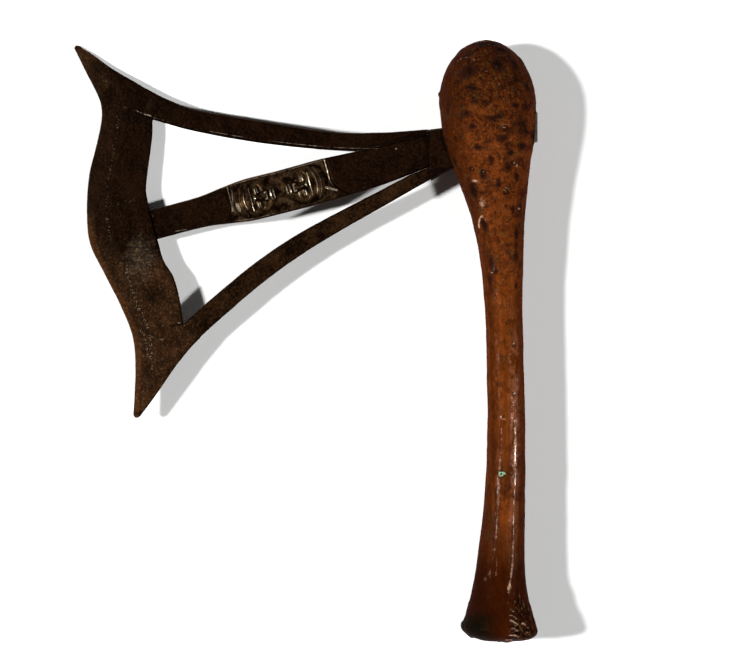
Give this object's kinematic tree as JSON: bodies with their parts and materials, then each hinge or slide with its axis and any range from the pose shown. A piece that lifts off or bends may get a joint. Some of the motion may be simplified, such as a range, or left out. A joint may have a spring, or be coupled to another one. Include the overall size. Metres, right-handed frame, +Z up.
{
  "type": "openwork prestige axe with a copper-sheathed haft",
  "caption": "Prestige axe lying flat: forged iron openwork blade with a horned cutting plate, relief heads on its middle strut, and a club-shaped haft in copper sheet",
  "frame": {"origin": "the middle of the underside of the object's box, on the floor that the axe lies on", "axes": "+Z up from the floor, +Y along the haft from its butt to its head, -X towards the cutting edge"},
  "size_m": [0.31, 0.3996, 0.0535],
  "materials": {
    "haft_copper": null,
    "plate_iron": "forged iron, dark brown patina, rust brown along the edge",
    "upper_strut_iron": "forged iron, dark brown patina",
    "lower_strut_iron": "forged iron, dark brown patina",
    "central_strut_iron": "forged iron, dark patina, worn bright on the relief"
  },
  "bodies": {
    "root": {"haft": "haft_copper", "cutting_blade": "plate_iron", "upper_strut": "upper_strut_iron", "lower_strut": "lower_strut_iron", "central_strut": "central_strut_iron"}
  },
  "joints": []
}
